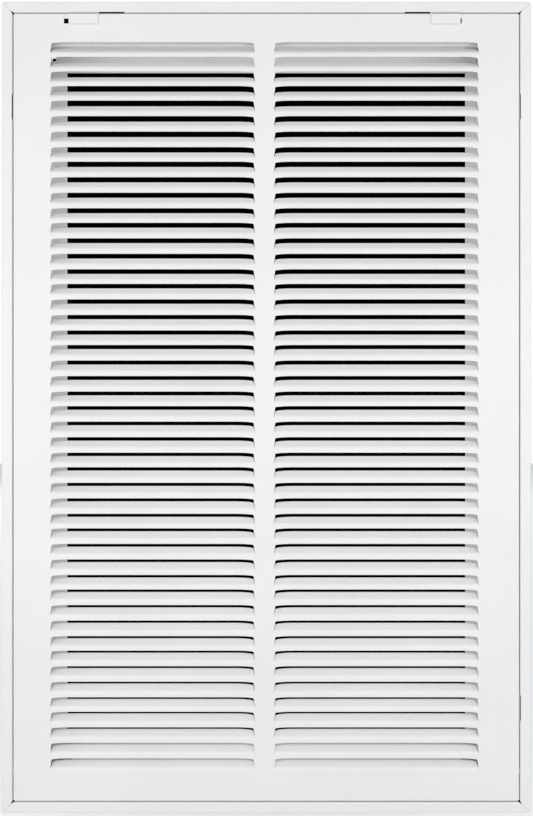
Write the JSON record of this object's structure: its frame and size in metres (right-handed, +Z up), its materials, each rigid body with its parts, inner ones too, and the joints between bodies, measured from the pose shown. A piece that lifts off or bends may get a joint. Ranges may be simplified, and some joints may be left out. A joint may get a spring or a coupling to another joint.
{
  "type": "return air filter grille",
  "caption": "White steel return air grille for a wall, with a hinged louvred door over a filter bay, sliding latches and a neck that goes into the duct opening.",
  "frame": {"origin": "middle of the grille on the wall plane, which is the middle of its four screw holes", "axes": "+Z up along the grille's height, +X to the right as seen from the room, +Y back into the wall and duct"},
  "size_m": [0.44, 0.0423, 0.6744],
  "materials": {
    "frame_enamel": "satin",
    "door_enamel": "satin",
    "tab_enamel": "satin",
    "painted_rivet": "satin",
    "zinc_sheet": "zinc plated",
    "pin_steel": "plain",
    "rivet_metal": "plain"
  },
  "bodies": {
    "frame": {"frame_top_rail": "frame_enamel", "frame_bottom_rail": "frame_enamel", "frame_left_rail": "frame_enamel", "frame_right_rail": "frame_enamel", "corner_key_top_right": "zinc_sheet", "corner_key_top_left": "zinc_sheet", "corner_key_bottom_right": "zinc_sheet", "corner_key_bottom_left": "zinc_sheet", "neck_clip_top_right": "zinc_sheet", "neck_clip_top_left": "zinc_sheet", "neck_clip_bottom_right": "zinc_sheet", "neck_clip_bottom_left": "zinc_sheet", "neck_rivets": "rivet_metal"},
    "door": {"door_panel": "door_enamel", "hinge_rivets": "painted_rivet", "hinge_strap_left": "zinc_sheet", "hinge_pin_left": "pin_steel", "latch_keeper_left": "zinc_sheet", "hinge_strap_right": "zinc_sheet", "hinge_pin_right": "pin_steel", "latch_keeper_right": "zinc_sheet"},
    "latch_left": {"latch_tab_left": "tab_enamel", "latch_slide_left": "zinc_sheet", "latch_rivet_left": "rivet_metal"},
    "latch_right": {"latch_tab_right": "tab_enamel", "latch_slide_right": "zinc_sheet", "latch_rivet_right": "rivet_metal"}
  },
  "joints": [
    {"name": "door_swing", "type": "hinge", "parent": "frame", "child": "door", "pos_m": [0, -0.0067, -0.3243], "axis": [1, 0, 0], "range_deg": [0, 95]},
    {"name": "latch_left_slide", "type": "slide", "parent": "door", "child": "latch_left", "axis": [1, 0, 0], "range_m": [-0.0039, 0.018]},
    {"name": "latch_right_slide", "type": "slide", "parent": "door", "child": "latch_right", "axis": [-1, 0, 0], "range_m": [-0.001, 0.018]}
  ]
}
